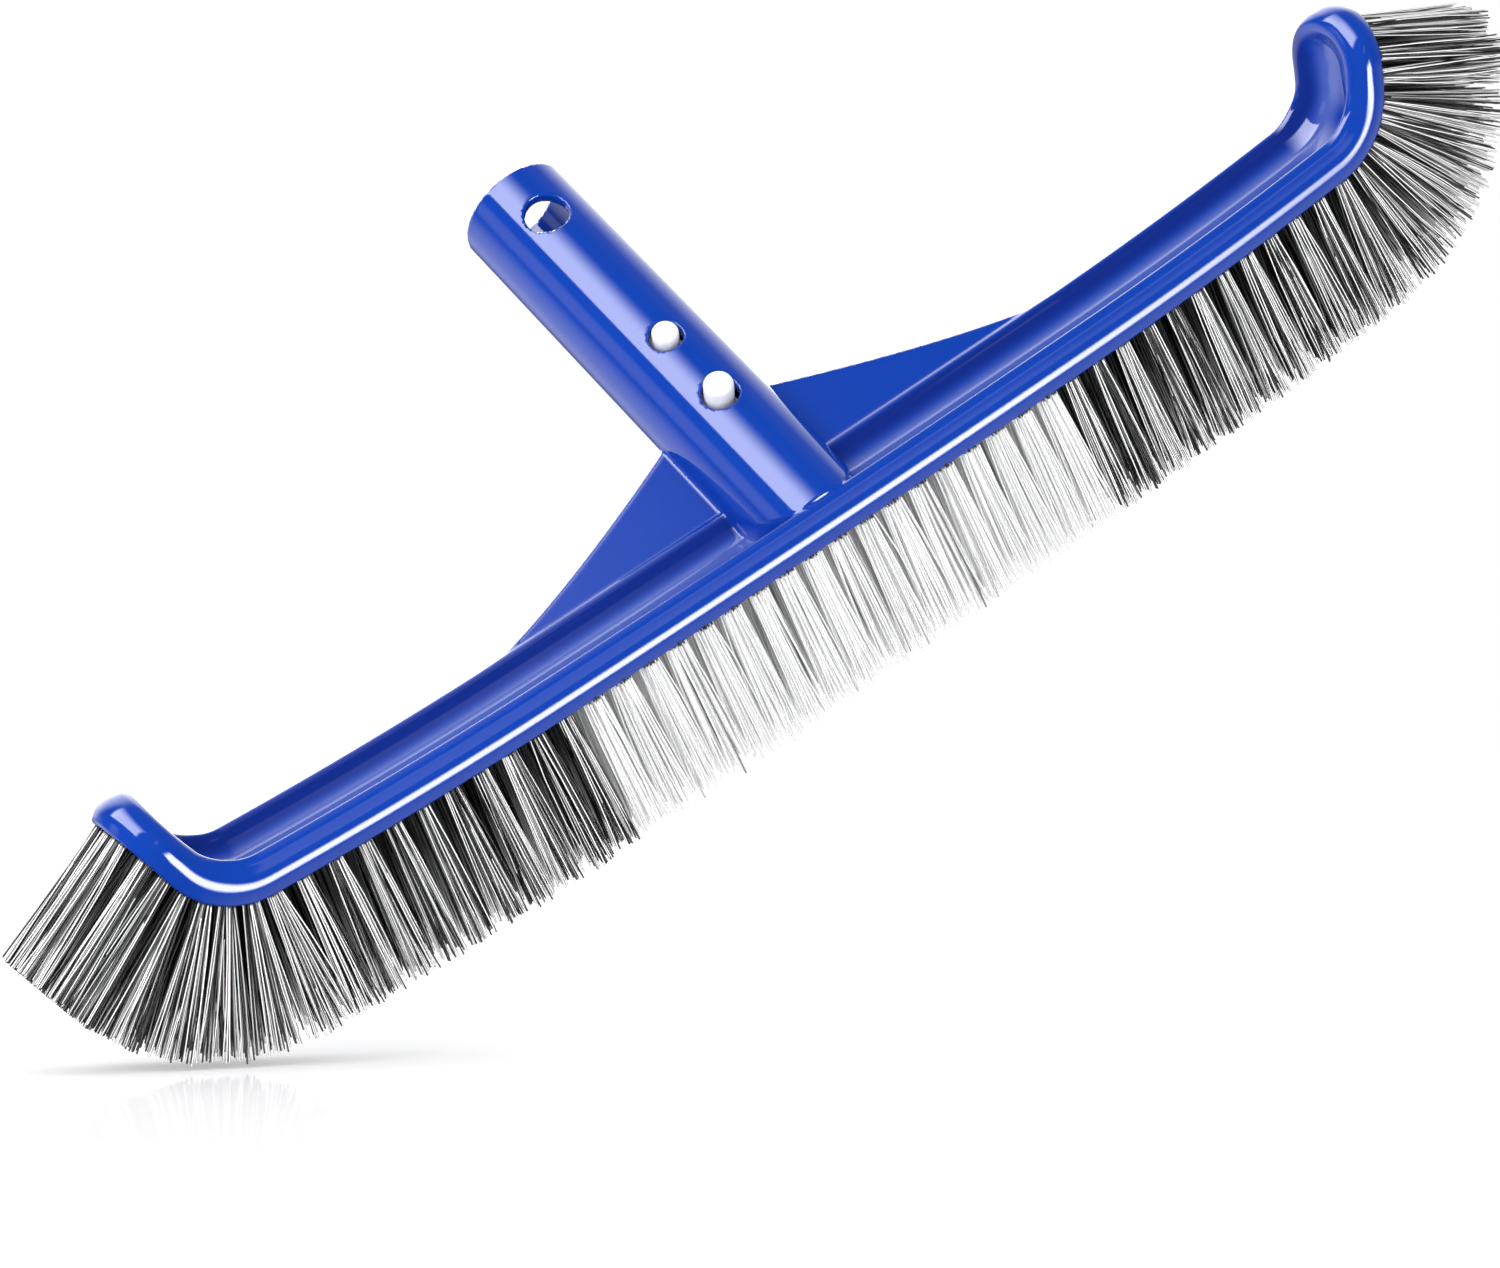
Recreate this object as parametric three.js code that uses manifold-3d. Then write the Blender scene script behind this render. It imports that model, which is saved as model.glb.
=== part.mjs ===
// Pool wall brush: a bowed tray with hooked ends, a leaning pole socket braced by two webs,
// a spring clip inside the socket and cross rows of bristle tufts.
// Units are millimetres. +X runs along the brush, +Z runs up through its back, and the socket
// leans towards +Y. The origin is the point where the middle tuft touches a flat floor.
import * as THREE from "three";
import { mergeVertices } from "three/addons/utils/BufferGeometryUtils.js";
import Module from "manifold-3d";

const wasm = await Module();
wasm.setup();

const rad = THREE.MathUtils.degToRad;

// Bristles.
const BRISTLE_LENGTH = 37;
const TUFT_GAP = 0.3; // between a tuft's root and the tray
const TUFT_ROOT_WIDTH = 3.8;
const ROW_PITCH = 5.6; // across the brush
const TIP_HALF_SPREAD = 3.4; // half the width of one tuft at its tip, across the brush
const BACK_TIP_DEPTH = 7.6; // of a tuft's tip, along the brush
const HOOK_TIP_DEPTH = 5.4;
const MERGE_DEPTH = 24; // below this depth the tufts of a cross row touch
const MERGE_SPREAD = 1.1; // how far the tufts have fanned out at that depth
const FULL_ROWS = 5;
const END_ROWS = 3;
const BACK_PITCH = 8.15; // between cross rows along the back
const HOOK_PITCH = 5.9; // between cross rows round the hooked ends
const BACK_COLUMNS = 20; // cross rows on each side of the middle one, before the hook
const HOOK_COLUMNS = 7;
const HOOK_LEAN = 0.12; // share of the spine's turn that the tufts do not follow
const FIRST_WHITE = -9; // white cross rows, counted from the middle one
const LAST_WHITE = 8;

// Spine: the middle line of the tray's underside, as arcs from the middle to one end.
const SPINE_ARCS = [
  { radius: 6600, end: rad(0.7), steps: 3 },
  { radius: 1180, end: rad(4.7), steps: 3 },
  { radius: 23.5, end: rad(72), steps: 8 },
];
const SPINE_HALF = 211; // arc length from the middle to the rounded tip

// Tray cross-section: heights above the underside and distances from the middle line.
const TRAY_HALF_WIDTH = 15.4;
const SHOULDER_HEIGHT = 4.4; // where the tray is widest
const BASE_HALF_WIDTH = 13.5;
const CREST_OUTER = 12.3;
const CREST_INNER = 10.9;
const CREST_HEIGHT = 11.4;
const CHANNEL_HALF_WIDTH = 8.4;
const CHANNEL_FLOOR = 4.8;
const TIP_RIM_EXTRA = 2.6; // how much thicker the rim is round the tips
const CAP_STEPS = 12; // round each tip

// Socket for a telescopic pole.
const SOCKET_TILT = rad(54); // from +Z towards +Y
const SOCKET_FOOT = [0, 5.1, BRISTLE_LENGTH + 5.7];
const SOCKET_LENGTH = 116.7;
const SOCKET_MOUTH_RADIUS = 15;
const SOCKET_FOOT_RADIUS = 15.4;
const SOCKET_SINK = 30; // length below the foot point, before it is trimmed
const BORE_RADIUS = 11.8;
const BORE_FLOOR = 11;
const SOCKET_SIDES = 48;
const SOCKET_FRONT = -11.8; // the foot is cut off flat here, over the front rim's crest
const FOOT_TRIM = 1; // the foot stops this far above the tray's underside
const POLE_HOLE = { at: 100.6, radius: 5.7 };
const LOCK_HOLE = { at: 51, radius: 4.3 };
const THUMB_HOLE = { at: 29, radius: 4.7 };
const HOLE_SIDES = 24;

// Webs beside the socket.
const WEB_THICKNESS = 3;
const WEB_OFFSET = -1.7; // of the web's middle plane, from the socket's axis
const WEB_ROOT = 7.5;
const WEB_REACH = 88;
const WEB_TOE = 8.9;
const WEB_TOP = 34.5;
const WEB_INNER = 13;
const WEB_BEND = [37, 22.1]; // pulls the free edge into its hollow curve
const WEB_STEPS = 8;

// Spring clip: an arm with two buttons, hinged on the fold of a back leg.
const CLIP_THICKNESS = 2.2;
const ARM_TOP = 9; // distance of the arm's outer face from the socket's axis
const ARM_HALF_WIDTH = 4.6;
const ARM_START = 18;
const HINGE_AT = 76;
const HINGE_GAP = 0.5;
const LEG_HALF_WIDTH = 6;
const LEG_START = 20;
const LOCK_BUTTON = { at: 51.2, radius: 3.4, top: 17.3, round: 1.6 };
const THUMB_BUTTON = { at: 29.5, radius: 3.8, top: 19.3, round: 2 };
const FOLD_STEPS = 10;
const BUTTON_SIDES = 20;
const BUTTON_STEPS = 3; // round the edge of a button's top

// Materials.
const blue = new THREE.MeshStandardMaterial({ color: 0x1c40c0, roughness: 0.25, metalness: 0 });
const clipWhite = new THREE.MeshStandardMaterial({ color: 0xf2f2f0, roughness: 0.35, metalness: 0 });
const bristleWhite = new THREE.MeshStandardMaterial({ color: 0xe9e9e9, roughness: 0.6, metalness: 0 });
const bristleGrey = new THREE.MeshStandardMaterial({ color: 0x8b8b8b, roughness: 0.6, metalness: 0 });

/** Turns a three.js geometry into a closed manifold-3d solid. */
function toSolid(geometry) {
  const bare = geometry.clone();
  bare.deleteAttribute("normal");
  bare.deleteAttribute("uv");
  const merged = mergeVertices(bare, 1e-4);
  const corners = merged.index.array;
  const kept = [];
  for (let i = 0; i < corners.length; i += 3) {
    const [a, b, c] = [corners[i], corners[i + 1], corners[i + 2]];
    if (a !== b && b !== c && c !== a) {
      kept.push(a, b, c);
    }
  }
  const vertProperties = Float32Array.from(merged.attributes.position.array);
  const triVerts = Uint32Array.from(kept);
  return new wasm.Manifold(new wasm.Mesh({ numProp: 3, vertProperties, triVerts }));
}

/** Turns a manifold-3d solid back into a three.js geometry. */
function toGeometry(solid) {
  const mesh = solid.getMesh();
  const geometry = new THREE.BufferGeometry();
  geometry.setAttribute("position", new THREE.BufferAttribute(mesh.vertProperties, 3));
  geometry.setIndex(new THREE.BufferAttribute(mesh.triVerts, 1));
  geometry.computeVertexNormals();
  return geometry;
}

/** Position and heading of the spine at an arc length from the middle. */
function spineAt(arcLength) {
  const side = Math.sign(arcLength);
  let left = Math.abs(arcLength);
  let x = 0;
  let z = BRISTLE_LENGTH;
  let angle = 0;
  for (const arc of SPINE_ARCS) {
    const run = Math.min(left, arc.radius * (arc.end - angle));
    const next = angle + run / arc.radius;
    x += arc.radius * (Math.sin(next) - Math.sin(angle));
    z += arc.radius * (Math.cos(angle) - Math.cos(next));
    angle = next;
    left -= run;
    if (left <= 0) {
      break;
    }
  }
  x += left * Math.cos(angle);
  z += left * Math.sin(angle);
  return { x: side * x, z, angle: side * angle };
}

/** Moves a point of the flat layout (along, across, up) on to the bent spine. */
function bend(along, across, up) {
  const spine = spineAt(along);
  return [spine.x - up * Math.sin(spine.angle), across, spine.z + up * Math.cos(spine.angle)];
}

/** Arc lengths where the tray's straight sides are divided, from the middle to one cap. */
function sideStations() {
  const stations = [];
  let start = 0;
  let angle = 0;
  for (const arc of SPINE_ARCS) {
    const run = arc.radius * (arc.end - angle);
    for (let i = 0; i < arc.steps; i += 1) {
      stations.push(start + (run * i) / arc.steps);
    }
    start += run;
    angle = arc.end;
  }
  stations.push(start, SPINE_HALF - TRAY_HALF_WIDTH);
  return stations;
}

/** Half of the tray's cross-section, from the channel's middle over the rim to the underside. */
function trayProfile(rimExtra) {
  return [
    [0, CHANNEL_FLOOR],
    [CHANNEL_HALF_WIDTH - rimExtra, CHANNEL_FLOOR],
    [CREST_INNER - rimExtra, CREST_HEIGHT],
    [CREST_OUTER, CREST_HEIGHT],
    [TRAY_HALF_WIDTH, SHOULDER_HEIGHT],
    [BASE_HALF_WIDTH, 0],
    [0, 0],
  ];
}

/** The tray: its half section carried round a long loop with a semicircle at each tip. */
function traySolid() {
  const sideProfile = trayProfile(0);
  const capProfile = trayProfile(TIP_RIM_EXTRA);
  const stations = sideStations();
  const capCentre = stations[stations.length - 1];
  const between = stations.slice(1, -1);
  const planes = [];
  const addCap = (centre, from) => {
    for (let i = 0; i <= CAP_STEPS; i += 1) {
      const angle = from + (Math.PI * i) / CAP_STEPS;
      const [along, across] = [Math.cos(angle), Math.sin(angle)];
      planes.push({ centre, along, across, profile: capProfile });
    }
  };
  const addSide = (across) => {
    const centres = [...between.toReversed(), 0, ...between.map((s) => -s)];
    for (const centre of centres) {
      planes.push({ centre: across * centre, along: 0, across, profile: sideProfile });
    }
  };
  addCap(capCentre, -Math.PI / 2);
  addSide(1);
  addCap(-capCentre, Math.PI / 2);
  addSide(-1);

  const positions = [];
  for (const { centre, along, across, profile } of planes) {
    for (const [out, up] of profile) {
      positions.push(...bend(centre + out * along, out * across, up));
    }
  }
  const index = [];
  const count = sideProfile.length;
  for (let i = 0; i < planes.length; i += 1) {
    const here = i * count;
    const next = ((i + 1) % planes.length) * count;
    for (let j = 0; j + 1 < count; j += 1) {
      index.push(here + j, here + j + 1, next + j + 1);
      index.push(here + j, next + j + 1, next + j);
    }
  }
  const geometry = new THREE.BufferGeometry();
  geometry.setAttribute("position", new THREE.Float32BufferAttribute(positions, 3));
  geometry.setIndex(index);
  return toSolid(geometry);
}

/** Matrix from the socket's frame (x across, y along the axis, z out of the top) to the brush. */
function socketMatrix() {
  const axis = new THREE.Vector3(0, Math.sin(SOCKET_TILT), Math.cos(SOCKET_TILT));
  const top = new THREE.Vector3(0, -Math.cos(SOCKET_TILT), Math.sin(SOCKET_TILT));
  const matrix = new THREE.Matrix4().makeBasis(new THREE.Vector3(1, 0, 0), axis, top);
  return matrix.setPosition(...SOCKET_FOOT);
}

/** A cylinder or cone frustum along the socket's axis, in the socket's frame. */
function socketRod(startRadius, endRadius, start, end) {
  const rod = new THREE.CylinderGeometry(endRadius, startRadius, end - start, SOCKET_SIDES);
  return rod.translate(0, (start + end) / 2, 0);
}

/** A round cutter through the socket's top wall, and through both walls if asked. */
function holeCutter(hole, bothWalls) {
  const bottom = bothWalls ? -2 * SOCKET_FOOT_RADIUS : 0;
  const height = 2 * SOCKET_FOOT_RADIUS - bottom;
  const cutter = new THREE.CylinderGeometry(hole.radius, hole.radius, height, HOLE_SIDES);
  cutter.rotateX(Math.PI / 2);
  return cutter.translate(0, hole.at, bottom + height / 2);
}

/** Both webs as one plate in the plane of the socket's axis. */
function webGeometry() {
  const outline = new THREE.Shape();
  outline.moveTo(-WEB_REACH, WEB_ROOT);
  outline.lineTo(WEB_REACH, WEB_ROOT);
  outline.lineTo(WEB_REACH, WEB_TOE);
  outline.quadraticCurveTo(WEB_BEND[0], WEB_BEND[1], WEB_INNER, WEB_TOP);
  outline.lineTo(-WEB_INNER, WEB_TOP);
  outline.quadraticCurveTo(-WEB_BEND[0], WEB_BEND[1], -WEB_REACH, WEB_TOE);
  const plate = new THREE.ExtrudeGeometry(outline, {
    depth: WEB_THICKNESS,
    bevelEnabled: false,
    curveSegments: WEB_STEPS,
  });
  return plate.translate(0, 0, WEB_OFFSET - WEB_THICKNESS / 2);
}

/** The one-piece moulding: tray, socket and webs. */
function bodyMesh() {
  const place = socketMatrix();
  const inPlace = (geometry) => toSolid(geometry.applyMatrix4(place));
  const trimSize = 200;
  const below = new THREE.BoxGeometry(trimSize, trimSize, trimSize);
  below.translate(0, 0, BRISTLE_LENGTH + FOOT_TRIM - trimSize / 2);
  const inFront = new THREE.BoxGeometry(trimSize, trimSize, trimSize);
  inFront.translate(0, SOCKET_FRONT - trimSize / 2, 0);
  const socket = inPlace(
    socketRod(SOCKET_FOOT_RADIUS, SOCKET_MOUTH_RADIUS, -SOCKET_SINK, SOCKET_LENGTH),
  );
  let body = socket.subtract(toSolid(below)).subtract(toSolid(inFront));
  body = body.add(inPlace(webGeometry()));
  body = body.add(traySolid());
  body = body.subtract(inPlace(socketRod(BORE_RADIUS, BORE_RADIUS, BORE_FLOOR, SOCKET_LENGTH + 1)));
  body = body.subtract(inPlace(holeCutter(POLE_HOLE, true)));
  body = body.subtract(inPlace(holeCutter(LOCK_HOLE, false)));
  body = body.subtract(inPlace(holeCutter(THUMB_HOLE, false)));
  const mesh = new THREE.Mesh(toGeometry(body), blue);
  mesh.name = "brush_body";
  return mesh;
}

/** A button with a rounded top, standing out of the clip's arm. */
function buttonGeometry(button) {
  const profile = [new THREE.Vector2(0, ARM_TOP - CLIP_THICKNESS / 2)];
  profile.push(new THREE.Vector2(button.radius, ARM_TOP - CLIP_THICKNESS / 2));
  for (let i = 0; i <= BUTTON_STEPS; i += 1) {
    const angle = (i / BUTTON_STEPS) * (Math.PI / 2);
    const out = button.radius - button.round * (1 - Math.cos(angle));
    profile.push(new THREE.Vector2(out, button.top - button.round * (1 - Math.sin(angle))));
  }
  profile.push(new THREE.Vector2(0, button.top));
  const geometry = new THREE.LatheGeometry(profile, BUTTON_SIDES);
  geometry.rotateX(Math.PI / 2);
  return geometry.translate(0, button.at, 0);
}

/** The clip's arm with its lock button and its thumb button, in the socket's frame. */
function clipArmMesh() {
  const length = HINGE_AT - HINGE_GAP - ARM_START;
  const strip = new THREE.BoxGeometry(2 * ARM_HALF_WIDTH, length, CLIP_THICKNESS);
  strip.translate(0, ARM_START + length / 2, ARM_TOP - CLIP_THICKNESS / 2);
  let arm = toSolid(strip);
  arm = arm.add(toSolid(buttonGeometry(LOCK_BUTTON)));
  arm = arm.add(toSolid(buttonGeometry(THUMB_BUTTON)));
  const mesh = new THREE.Mesh(toGeometry(arm), clipWhite);
  mesh.name = "clip_button_arm";
  return mesh;
}

/** The clip's back leg and the fold that carries the arm, in the socket's frame. */
function clipLegMesh() {
  const inner = ARM_TOP - CLIP_THICKNESS;
  const side = new THREE.Shape();
  side.moveTo(HINGE_AT, inner);
  side.absarc(HINGE_AT, 0, inner, Math.PI / 2, -Math.PI / 2, true);
  side.lineTo(LEG_START, -inner);
  side.lineTo(LEG_START, -ARM_TOP);
  side.lineTo(HINGE_AT, -ARM_TOP);
  side.absarc(HINGE_AT, 0, ARM_TOP, -Math.PI / 2, Math.PI / 2, false);
  const leg = new THREE.ExtrudeGeometry(side, {
    depth: 2 * LEG_HALF_WIDTH,
    bevelEnabled: false,
    curveSegments: FOLD_STEPS,
  });
  leg.translate(0, 0, -LEG_HALF_WIDTH);
  // The shape's x becomes the socket's y and its y becomes the socket's z.
  const turn = new THREE.Matrix4().makeBasis(
    new THREE.Vector3(0, 1, 0),
    new THREE.Vector3(0, 0, 1),
    new THREE.Vector3(1, 0, 0),
  );
  const mesh = new THREE.Mesh(leg.applyMatrix4(turn), clipWhite);
  mesh.name = "clip_back_leg";
  return mesh;
}

/** One cross row of tufts that lean along the tray, in a frame whose z points out of its back. */
function tuftRowGeometry(rows, tipDepth, lean) {
  const root = -TUFT_GAP;
  const tip = -BRISTLE_LENGTH;
  const outer = ((rows - 1) * ROW_PITCH) / 2;
  const outerTip = (rows * 2 * TIP_HALF_SPREAD) / 2;
  const comb = new THREE.Shape();
  comb.moveTo(-outerTip, tip);
  comb.lineTo(outerTip, tip);
  for (let row = 0; row < rows; row += 1) {
    const centre = outer - row * ROW_PITCH;
    comb.lineTo(centre + TUFT_ROOT_WIDTH / 2, root);
    comb.lineTo(centre - TUFT_ROOT_WIDTH / 2, root);
    if (row + 1 < rows) {
      comb.lineTo((centre - ROW_PITCH / 2) * MERGE_SPREAD, -MERGE_DEPTH);
    }
  }
  const geometry = new THREE.ExtrudeGeometry(comb, { depth: 1, bevelEnabled: false });
  geometry.translate(0, 0, -0.5);
  // The shape's x runs across the brush, its y up, and the extrusion runs along the brush.
  const turn = new THREE.Matrix4().makeBasis(
    new THREE.Vector3(0, 1, 0),
    new THREE.Vector3(0, 0, 1),
    new THREE.Vector3(1, 0, 0),
  );
  geometry.applyMatrix4(turn);
  const position = geometry.attributes.position;
  for (let i = 0; i < position.count; i += 1) {
    const up = position.getZ(i);
    const width = THREE.MathUtils.lerp(TUFT_ROOT_WIDTH, tipDepth, up / tip);
    position.setX(i, position.getX(i) * width + up * Math.tan(lean));
  }
  return geometry;
}

/** All cross rows of tufts, numbered from the left end. */
function tuftMeshes() {
  const last = BACK_COLUMNS + HOOK_COLUMNS;
  const meshes = [];
  for (let column = -last; column <= last; column += 1) {
    const step = Math.abs(column);
    const inHook = Math.max(0, step - BACK_COLUMNS);
    const arcLength = (step - inHook) * BACK_PITCH + inHook * HOOK_PITCH;
    const spine = spineAt(Math.sign(column) * arcLength);
    const rows = step === last ? END_ROWS : FULL_ROWS;
    const tipDepth = inHook > 0 ? HOOK_TIP_DEPTH : BACK_TIP_DEPTH;
    const geometry = tuftRowGeometry(rows, tipDepth, HOOK_LEAN * spine.angle);
    const isWhite = column >= FIRST_WHITE && column <= LAST_WHITE;
    const material = isWhite ? bristleWhite : bristleGrey;
    const mesh = new THREE.Mesh(geometry, material);
    mesh.name = `tuft_row_${String(column + last + 1).padStart(2, "0")}`;
    mesh.position.set(spine.x, 0, spine.z);
    mesh.rotation.y = -spine.angle;
    meshes.push(mesh);
  }
  return meshes;
}

const clip = new THREE.Group();
socketMatrix().decompose(clip.position, clip.quaternion, clip.scale);
clip.add(clipArmMesh(), clipLegMesh());

const brush = new THREE.Group();
brush.add(bodyMesh(), clip, ...tuftMeshes());

export default brush;
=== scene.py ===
"""Looks of the pool wall brush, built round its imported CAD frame. Lengths here are millimetres."""

import math

import bmesh
import bpy
import numpy as np
from mathutils import Matrix, Vector


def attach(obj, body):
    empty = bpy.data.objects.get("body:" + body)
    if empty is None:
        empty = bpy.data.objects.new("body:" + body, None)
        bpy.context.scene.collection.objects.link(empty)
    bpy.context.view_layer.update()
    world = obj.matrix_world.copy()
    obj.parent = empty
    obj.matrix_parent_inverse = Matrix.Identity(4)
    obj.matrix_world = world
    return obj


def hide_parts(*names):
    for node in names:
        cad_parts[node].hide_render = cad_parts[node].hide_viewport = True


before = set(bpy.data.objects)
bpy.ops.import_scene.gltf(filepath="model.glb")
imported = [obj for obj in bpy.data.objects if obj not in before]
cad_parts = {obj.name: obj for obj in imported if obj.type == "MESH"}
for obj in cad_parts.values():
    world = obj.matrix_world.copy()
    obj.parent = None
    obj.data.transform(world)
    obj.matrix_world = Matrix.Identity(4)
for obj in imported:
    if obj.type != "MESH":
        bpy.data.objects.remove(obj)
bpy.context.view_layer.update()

MM = 0.001

# Spine: the middle line of the tray's underside, as (radius, end angle) arcs from the middle.
BRISTLE_LENGTH = 37.0
SPINE_ARCS = [(6600.0, math.radians(0.7)), (1180.0, math.radians(4.7)), (23.5, math.radians(72.0))]
SPINE_HALF = 211.0

# Tray cross-section. A round is the width over which two faces blend into each other.
TRAY_HALF_WIDTH = 15.4
SHOULDER_HEIGHT = 4.4
BASE_HALF_WIDTH = 13.5
CREST_OUTER = 12.3
CREST_INNER = 10.9
CREST_HEIGHT = 11.4
CHANNEL_HALF_WIDTH = 8.2
CHANNEL_FLOOR = 4.8
SLAB_HALF_WIDTH = 9.0  # the channel's floor plate ends inside the rim
RIM_ROUND = 2.2
WALL_ROUND = 2.0
SLAB_ROUND = 0.5
CHANNEL_FILLET = 5.0
BASE_ROUND = 0.8
TRAY_REACH = 18.0  # everything of the tray is nearer to the spine than this
EDGE_ROUND = 0.8  # of the bore and of the webs

# The rim round the tips. Runs are measured along the spine from the centre of the rounded tip.
TIP_RIM_EXTRA = 2.6  # how much thicker the rim gets
TIP_RIM_RUN = (-22.0, 4.0)
TIP_LIFT = 4.0  # how much taller the crest gets
TIP_LIFT_RUN = (-12.0, 12.0)
TIP_LIFT_ACROSS = (-14.0, 8.0)  # the lift grows from the front to the back
TIP_CREST_ROUND = 4.4  # added to the rounds of the back's rim
TIP_WALL_ROUND = 4.8

# Painted light and shade in the channel: a painted reflection lightens a band on its floor and painted
# shade darkens its back wall.
PAINTED_REFLECTION_MIDDLE = 3.4  # across the tray
PAINTED_REFLECTION_WIDTH = (0.5, 6.0)  # full and gone, from its middle
PAINTED_REFLECTION_HEIGHT = 5.0  # above the floor
PAINTED_REFLECTION_BASE = 1.0  # keeps the painted reflection off the underside
# painted shade on the channel's back wall:
PAINTED_SHADE_FROM = (4.5, 8.5)  # across the tray
PAINTED_SHADE_TO = (10.5, 11.5)
PAINTED_SHADE_RISE = (5.0, 8.0)  # above the spine
PAINTED_SHADE_TOP = (13.0, 15.0)
PAINTED_SHADE_GAP = 0.8  # beside the socket

# Socket.
SOCKET_TILT = math.radians(54.0)
SOCKET_FOOT = np.array([0.0, 5.1, BRISTLE_LENGTH + 5.7])
SOCKET_AXIS = np.array([0.0, math.sin(SOCKET_TILT), math.cos(SOCKET_TILT)])
SOCKET_TOP = np.array([0.0, -math.cos(SOCKET_TILT), math.sin(SOCKET_TILT)])
SOCKET_LENGTH = 116.7
SOCKET_MOUTH_RADIUS = 15.0
SOCKET_FOOT_RADIUS = 15.4
FOOT_TRIM = 1.0
FOOT_FRONT = -12.3  # the foot ends here on its middle line, over the front rim
FOOT_BOW = 14.0  # its end draws back this far at the socket's sides
FOOT_ROUND = 0.5
MOUTH_ROUND = 1.0
SOCKET_FILLET = 0.7
BORE_RADIUS = 11.8
BORE_FLOOR = 11.0
BORE_FLOOR_ROUND = 1.5
POLE_HOLE = (100.6, 5.7)  # distance along the socket, radius
LOCK_HOLE = (51.0, 4.3)
THUMB_HOLE = (29.0, 4.7)
HOLE_ROUND = 0.9

# Webs: one plate, from side to side through the socket.
WEB_HALF_THICKNESS = 1.5
WEB_OFFSET = -1.7  # from the socket's axis
WEB_ROOT = 7.5
WEB_REACH = 88.0  # to each side
WEB_TOE = 8.9  # height along the socket at the reach
WEB_TOP = 34.5  # and at the socket
WEB_INNER = 13.0
WEB_SWEEP = 1.27  # exponent of the free edge's curve
WEB_SHARES = (1e-3, 1.2)  # ends of that curve, as shares of the way to the socket
WEB_EDGE_ROUND = 1.8
WEB_FILLET = 1.2

# Grid that the moulding's surface is found on: (start, spacing) marks, and the last ends the axis.
GRID_ALONG = [(0.0, 0.9), (94.0, 1.7), (178.0, 0.9), (SPINE_HALF + 2.0, 0.0)]
GRID_ACROSS = [(-TRAY_REACH, 0.65), (TRAY_REACH, 0.92), (112.0, 0.0)]
GRID_UP = [(-2.0, 0.6), (16.6, 0.92), (92.0, 0.0)]
WEB_MARGIN = 6.0  # beyond the webs only the tray is left

# Clip.
CLIP_THICKNESS = 2.2
ARM_TOP = 9.0
ARM_HALF_WIDTH = 4.6
ARM_START = 18.0
ARM_EDGE_ROUND = 0.4
HINGE_AT = 76.0
HINGE_GAP = 0.5
LEG_HALF_WIDTH = 6.0
LEG_START = 20.0
LEG_EDGE_ROUND = 0.35
FOLD_STEPS = 16
BEVEL_SEGMENTS = 3
SHARP_EDGE = math.radians(40.0)  # edges that turn more than this are rounded
LOCK_BUTTON = {"at": 51.2, "radius": 3.4, "top": 17.3, "round": 1.6}
THUMB_BUTTON = {"at": 29.5, "radius": 3.8, "top": 19.3, "round": 2.0}
BUTTON_SIDES = 40
BUTTON_STEPS = 6  # of the rounded edge

# Bristles.
ROW_PITCH = 5.6
BACK_PITCH = 8.15
HOOK_PITCH = 5.9
BACK_COLUMNS = 20
HOOK_COLUMNS = 7
LAST_COLUMN = BACK_COLUMNS + HOOK_COLUMNS
FULL_ROWS = 5
END_ROWS = 3
HOOK_LEAN = 0.12  # share of the spine's turn that the tufts do not follow
FIRST_WHITE = -9
LAST_WHITE = 8
TUFT_RADII = {"grey": (1.9, 3.6), "white": (2.8, 4.6), "hook": (1.9, 3.2)}  # at the roots and tips
ROW_SPLAY = 0.5  # how much the tufts of a row spread apart from root to tip

# Filaments.
FILAMENTS = 38  # in a tuft
FILAMENT_RADIUS = 0.27
FILAMENT_TAPER = 0.85
FILAMENT_SIDES = 4
FILAMENT_LEVELS = 4
FILAMENT_SINK = 1.0  # how deep it starts inside the tray
GOLDEN_ANGLE = 2.39996  # spreads the filaments of a tuft evenly
TURN_JITTER = 0.5
ROW_TURN = 1.7  # between the patterns of neighbouring tufts
TUFT_SCATTER = 0.25  # of each tuft's tip
TIP_SCATTER = 0.45  # of each filament's tip
BOW_SCATTER = 0.35
LENGTH_SCATTER = 0.5
SEED = 18
PAINTED_LIGHT_FROM = 0.5  # painted shade on inner tufts lifts past this share of their length


# ---------------------------------------------------------------- spine

def spine_segments():
    """Each arc of half the spine: start length, both angles, radius, centre; then where its tail starts."""
    segments = []
    x, z, angle, length = 0.0, 0.0, 0.0, 0.0
    for radius, end in SPINE_ARCS:
        centre = (x - radius * math.sin(angle), z + radius * math.cos(angle))
        segments.append((length, angle, end, radius, centre))
        x = centre[0] + radius * math.sin(end)
        z = centre[1] - radius * math.cos(end)
        length += radius * (end - angle)
        angle = end
    return segments, (length, angle, x, z)


SEGMENTS, TAIL = spine_segments()


def spine_coordinates(x, z):
    """Arc length along the spine (unsigned) and height above it, for points of the XZ plane."""
    px, pz = np.abs(x), z - BRISTLE_LENGTH
    best = np.full(px.shape, np.inf)
    along = np.zeros(px.shape)
    up = np.zeros(px.shape)
    for start, first, last, radius, centre in SEGMENTS:
        angle = np.arctan2(px - centre[0], centre[1] - pz)
        inside = np.clip(angle, first, last)
        gap = np.hypot(
            px - centre[0] - radius * np.sin(inside), pz - centre[1] + radius * np.cos(inside)
        )
        nearer = gap < best
        best = np.where(nearer, gap, best)
        along = np.where(nearer, start + radius * (inside - first), along)
        height = radius - np.hypot(px - centre[0], pz - centre[1])
        up = np.where(nearer, height, up)
    length, angle, x0, z0 = TAIL
    run = (px - x0) * math.cos(angle) + (pz - z0) * math.sin(angle)
    rise = -(px - x0) * math.sin(angle) + (pz - z0) * math.cos(angle)
    gap = np.hypot(rise, np.minimum(run, 0.0))
    nearer = (gap < best) & (run > 0.0)
    along = np.where(nearer, length + run, along)
    up = np.where(nearer, rise, up)
    return along, up


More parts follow.
